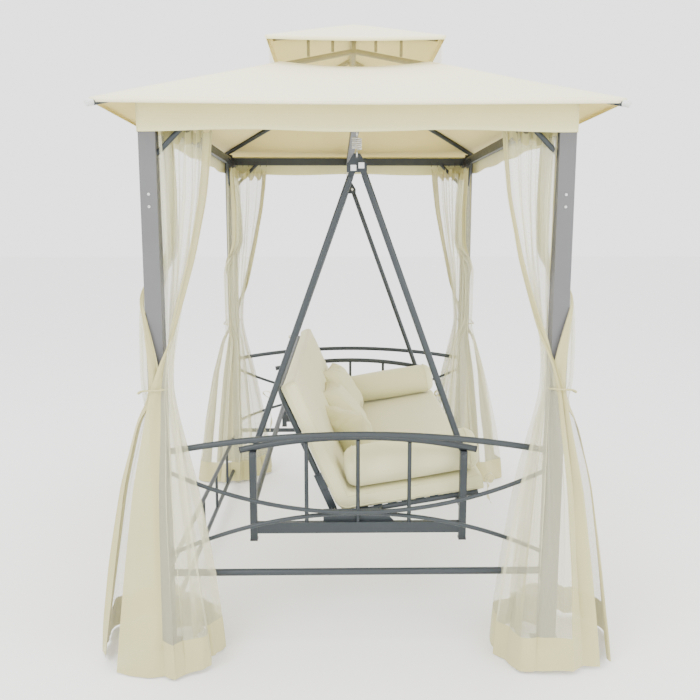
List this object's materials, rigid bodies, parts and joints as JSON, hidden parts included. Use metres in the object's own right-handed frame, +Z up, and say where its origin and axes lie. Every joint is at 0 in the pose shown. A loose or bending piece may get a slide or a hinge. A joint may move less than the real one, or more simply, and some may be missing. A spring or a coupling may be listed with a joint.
{
  "type": "canopy swing bench",
  "caption": "Garden gazebo frame with a two-tier fabric roof and tied-back curtains, and a spring-hung, reclining, cushioned bench that swings from its middle beam.",
  "frame": {"origin": "on the ground, under the middle of the roof", "axes": "+X along the long side, the bench faces -Y, +Z up"},
  "size_m": [2.47, 1.85, 2.3188],
  "materials": {
    "frame_paint": "satin slate grey powder coat",
    "black_plastic": "moulded black plastic",
    "clear_cap": "translucent white plastic",
    "canopy_fabric": "woven polyester, cream",
    "netting": "translucent off-white mesh",
    "curtain_fabric": "off-white mesh with beige woven borders",
    "cushion_fabric": "woven polyester, beige",
    "zinc_wire": "zinc-plated spring steel",
    "bolt_steel": "bright zinc-plated bolts and washers"
  },
  "bodies": {
    "gazebo": {"corner_braces": "frame_paint", "corner_connectors": "black_plastic", "curtain_front_left": "curtain_fabric", "curtain_front_right": "curtain_fabric", "curtain_hooks": "black_plastic", "curtain_rear_left": "curtain_fabric", "curtain_rear_right": "curtain_fabric", "end_arc_lower_left": "frame_paint", "end_arc_lower_right": "frame_paint", "end_arc_upper_left": "frame_paint", "end_arc_upper_right": "frame_paint", "end_beam_left": "frame_paint", "end_beam_right": "frame_paint", "end_bottom_bars": "frame_paint", "end_top_rail_left": "frame_paint", "end_top_rail_right": "frame_paint", "eye_plates": "frame_paint", "foot_plates": "frame_paint", "frame_screws": "bolt_steel", "hip_rafters": "frame_paint", "lower_canopy": "canopy_fabric", "panel_tabs": "frame_paint", "post_front_left": "frame_paint", "post_front_right": "frame_paint", "post_rear_left": "frame_paint", "post_rear_right": "frame_paint", "rafter_caps": "clear_cap", "rear_rails": "frame_paint", "rear_struts": "frame_paint", "ridge_bars": "frame_paint", "side_beam_front": "frame_paint", "side_beam_rear": "frame_paint", "swing_beam": "frame_paint", "tie_bands": "canopy_fabric", "upper_canopy": "canopy_fabric", "upper_posts": "frame_paint", "upper_rafters": "frame_paint", "valance": "canopy_fabric", "vent_netting": "netting", "vent_struts": "frame_paint"},
    "swing_link": {"spring_hooks": "zinc_wire", "springs": "zinc_wire"},
    "bench": {"lower_hooks": "zinc_wire", "apex_plates": "frame_paint", "hanger_tubes": "frame_paint", "bench_bolts": "bolt_steel", "armrests": "frame_paint", "bench_posts": "frame_paint", "balusters": "frame_paint", "bottom_rails": "frame_paint", "long_rails": "frame_paint", "tube_caps": "black_plastic", "seat_frame": "frame_paint", "seat_brackets": "frame_paint", "mattress_seat": "cushion_fabric", "bolster_left": "cushion_fabric", "bolster_right": "cushion_fabric"},
    "backrest": {"back_frame": "frame_paint", "mattress_back": "cushion_fabric", "pillows": "cushion_fabric"}
  },
  "joints": [
    {"name": "swing", "type": "hinge", "parent": "gazebo", "child": "swing_link", "pos_m": [0, 0, 1.848], "axis": [1, 0, 0], "range_deg": [-12, 12]},
    {"name": "spring_travel", "type": "slide", "parent": "swing_link", "child": "bench", "axis": [0, 0, 1], "range_m": [-0.025, 0], "stiffness_N_per_m": 15000, "springref_m": 0.06, "deforming": ["springs"]},
    {"name": "recline", "type": "hinge", "parent": "bench", "child": "backrest", "pos_m": [0, 0.08831, 0.43196], "axis": [-1, 0, 0], "range_deg": [0, 52]}
  ]
}
